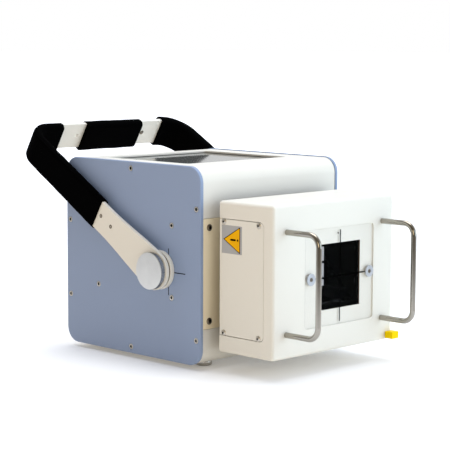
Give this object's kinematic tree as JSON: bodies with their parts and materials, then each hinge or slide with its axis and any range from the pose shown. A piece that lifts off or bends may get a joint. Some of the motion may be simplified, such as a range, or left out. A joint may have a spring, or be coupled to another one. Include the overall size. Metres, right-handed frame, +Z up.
{
  "type": "portable x-ray generator",
  "caption": "Portable X-ray generator: boxy sheet-metal case between two side plates, front collimator with square window and wire guards, swing carrying handle with foam grips.",
  "frame": {"origin": "at floor level under the middle of the unit's bounding box, handle leaning back", "axes": "+Z up, the beam leaves towards -Y, +X to the right seen from the front of the beam's source looking along +Y"},
  "size_m": [0.2414, 0.4113, 0.2398],
  "materials": {
    "blue_paint": "fine powder coat, satin grey-blue",
    "white_paint": "smooth satin off-white powder coat",
    "cream_paint": "smooth satin cream powder coat",
    "black_foam": "matt black closed-cell foam sleeve",
    "stainless_steel": "drawn and polished stainless steel",
    "foot_steel": "turned, bright",
    "machined_aluminium": "turned and brushed aluminium",
    "black_plastic": "moulded, fine texture",
    "yellow_plastic": "moulded yellow, half gloss",
    "dark_glass": "dark printed cover glass, glossy",
    "clear_acrylic": "clear acrylic sheet, polished",
    "tube_glass": "clear hard glass",
    "tank_steel": "plain steel sheet",
    "lead_sheet": "blackened lead-backed blade",
    "mirror_film": "thin front-surface mirror",
    "circuit_board": "green solder resist",
    "anode_copper": "bare copper"
  },
  "bodies": {
    "case": {"side_plate_left": "blue_paint", "side_plate_right": "blue_paint", "top_cover": "white_paint", "base_tray": "white_paint", "collimator_housing": "white_paint", "front_panel": "cream_paint", "rear_panel": "cream_paint", "collimator_cover_left": "cream_paint", "collimator_cover_right": "cream_paint", "pivot_boss_left": "cream_paint", "pivot_boss_right": "cream_paint", "guard_handle_left": "stainless_steel", "guard_handle_right": "stainless_steel", "window_disc_left": "stainless_steel", "window_disc_right": "stainless_steel", "pivot_stud_left": "stainless_steel", "pivot_stud_right": "stainless_steel", "handswitch_jack": "stainless_steel", "foot_front_left": "foot_steel", "foot_front_right": "foot_steel", "foot_rear_left": "foot_steel", "foot_rear_right": "foot_steel", "rail_front_upper": "machined_aluminium", "rail_front_lower": "machined_aluminium", "rail_rear_upper": "machined_aluminium", "rail_rear_lower": "machined_aluminium", "rail_bottom": "machined_aluminium", "power_heat_sink": "machined_aluminium", "port_flange": "machined_aluminium", "filter_disc": "machined_aluminium", "collimator_back_plate": "machined_aluminium", "mains_inlet": "black_plastic", "tape_case": "black_plastic", "display_carrier": "black_plastic", "lamp_holder": "black_plastic", "display_glass": "dark_glass", "window_panel": "clear_acrylic", "tube_envelope": "tube_glass", "lamp_bulb": "tube_glass", "tank_body": "tank_steel", "tank_lid": "tank_steel", "tube_cathode": "tank_steel", "shutter_frame": "tank_steel", "light_mirror": "mirror_film", "control_board": "circuit_board", "tube_anode": "anode_copper"},
    "handle": {"handle_bar": "cream_paint", "grip_left": "black_foam", "grip_centre": "black_foam", "grip_right": "black_foam"},
    "knob_left": {"clamp_knob_left": "machined_aluminium"},
    "knob_right": {"clamp_knob_right": "machined_aluminium"},
    "width_knob": {"shutter_knob_width": "black_plastic"},
    "height_knob": {"shutter_knob_height": "black_plastic"},
    "left_blade": {"blade_left": "lead_sheet"},
    "right_blade": {"blade_right": "lead_sheet"},
    "top_blade": {"blade_top": "lead_sheet"},
    "bottom_blade": {"blade_bottom": "lead_sheet"},
    "rocker": {"power_rocker": "black_plastic"},
    "tape": {"tape_tab": "yellow_plastic"}
  },
  "joints": [
    {"name": "handle_swing", "type": "hinge", "parent": "case", "child": "handle", "pos_m": [0, -0.01756, 0.0978], "axis": [1, 0, 0], "range_deg": [-40, 155]},
    {"name": "clamp_knob_left_turn", "type": "hinge", "parent": "case", "child": "knob_left", "pos_m": [-0.11495, -0.01756, 0.0978], "axis": [-1, 0, 0], "range_deg": [0, 270]},
    {"name": "clamp_knob_right_turn", "type": "hinge", "parent": "case", "child": "knob_right", "pos_m": [0.11495, -0.01756, 0.0978], "axis": [1, 0, 0], "range_deg": [0, 270]},
    {"name": "shutter_width_turn", "type": "hinge", "parent": "case", "child": "width_knob", "pos_m": [0.0908, -0.11926, 0.113], "axis": [1, 0, 0], "range_deg": [0, 270]},
    {"name": "shutter_height_turn", "type": "hinge", "parent": "case", "child": "height_knob", "pos_m": [0.0908, -0.11926, 0.079], "axis": [1, 0, 0], "range_deg": [0, 270]},
    {"name": "blade_left_slide", "type": "slide", "parent": "case", "child": "left_blade", "axis": [1, 0, 0], "range_m": [0, 0.033]},
    {"name": "blade_right_slide", "type": "slide", "parent": "case", "child": "right_blade", "axis": [-1, 0, 0], "range_m": [0, 0.033]},
    {"name": "blade_top_slide", "type": "slide", "parent": "case", "child": "top_blade", "axis": [0, 0, -1], "range_m": [0, 0.033]},
    {"name": "blade_bottom_slide", "type": "slide", "parent": "case", "child": "bottom_blade", "axis": [0, 0, 1], "range_m": [0, 0.033]},
    {"name": "power_rocker_tip", "type": "hinge", "parent": "case", "child": "rocker", "pos_m": [0.0565, 0.13084, 0.097], "axis": [1, 0, 0], "range_deg": [0, 14]},
    {"name": "tape_pull", "type": "slide", "parent": "case", "child": "tape", "axis": [0, -1, 0], "range_m": [0, 0.045], "stiffness_N_per_m": 20, "springref_m": -0.02}
  ],
  "couplings": [
    {"joint": "blade_right_slide", "follows": "blade_left_slide", "ratio": 1},
    {"joint": "shutter_width_turn", "follows": "blade_left_slide", "rad_per_m": 142.5},
    {"joint": "blade_bottom_slide", "follows": "blade_top_slide", "ratio": 1},
    {"joint": "shutter_height_turn", "follows": "blade_top_slide", "rad_per_m": 142.5}
  ]
}
